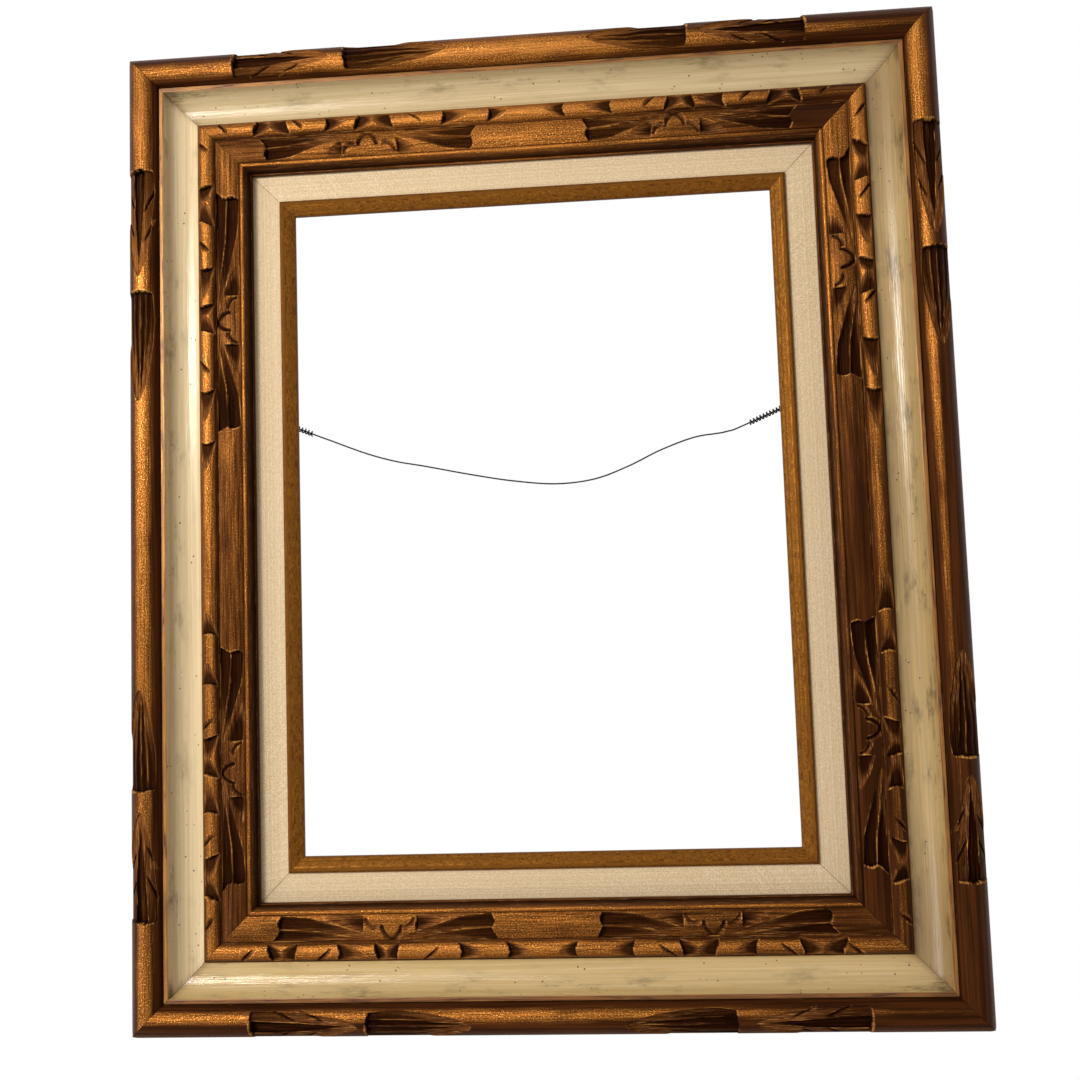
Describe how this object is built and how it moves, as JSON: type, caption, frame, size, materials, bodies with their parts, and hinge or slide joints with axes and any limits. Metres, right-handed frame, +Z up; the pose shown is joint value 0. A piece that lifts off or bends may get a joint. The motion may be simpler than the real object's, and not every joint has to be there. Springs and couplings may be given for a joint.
{
  "type": "carved picture frame",
  "caption": "Hand-carved wooden picture frame in nested mitred frames, with a cream cove, a linen liner, a gilded lip and a hanging wire on screw eyes behind.",
  "frame": {"origin": "middle of the frame in width and height, on the plane of its back that lies against the wall", "axes": "+X to the viewer's right, +Y backward into the wall, +Z up"},
  "size_m": [0.494, 0.0486, 0.594],
  "materials": {
    "outer_frame_wood": "dark brown stain rubbed with bronze gold on the roll and fillet, antiqued cream paint in the cove",
    "carved_frame_wood": "dark brown stain rubbed with bronze gold, darker in the cuts",
    "liner_wood": "gilded and toned lip over raw pine",
    "liner_linen": "natural coarse linen, matt",
    "nail_steel": "plain bright steel, slightly dulled",
    "screw_eye_steel": "zinc plated",
    "picture_wire": "stranded picture wire, dark with age"
  },
  "bodies": {
    "frame": {"outer_rail_top": "outer_frame_wood", "outer_rail_bottom": "outer_frame_wood", "outer_rail_left": "outer_frame_wood", "outer_rail_right": "outer_frame_wood", "carved_rail_top": "carved_frame_wood", "carved_rail_bottom": "carved_frame_wood", "carved_rail_left": "carved_frame_wood", "carved_rail_right": "carved_frame_wood", "liner_rail_top": "liner_wood", "liner_rail_bottom": "liner_wood", "liner_rail_left": "liner_wood", "liner_rail_right": "liner_wood", "linen_top": "liner_linen", "linen_bottom": "liner_linen", "linen_left": "liner_linen", "linen_right": "liner_linen", "corner_fasteners": "nail_steel", "carved_frame_corner_nails": "nail_steel", "carved_frame_nails": "nail_steel", "liner_brads": "nail_steel", "screw_eye_left": "screw_eye_steel", "screw_eye_right": "screw_eye_steel"},
    "wire": {"hanging_wire": "picture_wire", "wire_wrap_left": "picture_wire", "wire_wrap_right": "picture_wire"}
  },
  "joints": [
    {"name": "wire_swing", "type": "hinge", "parent": "frame", "child": "wire", "pos_m": [0, 0.0031, 0.086], "axis": [1, 0, 0], "range_deg": [0, 180]}
  ]
}
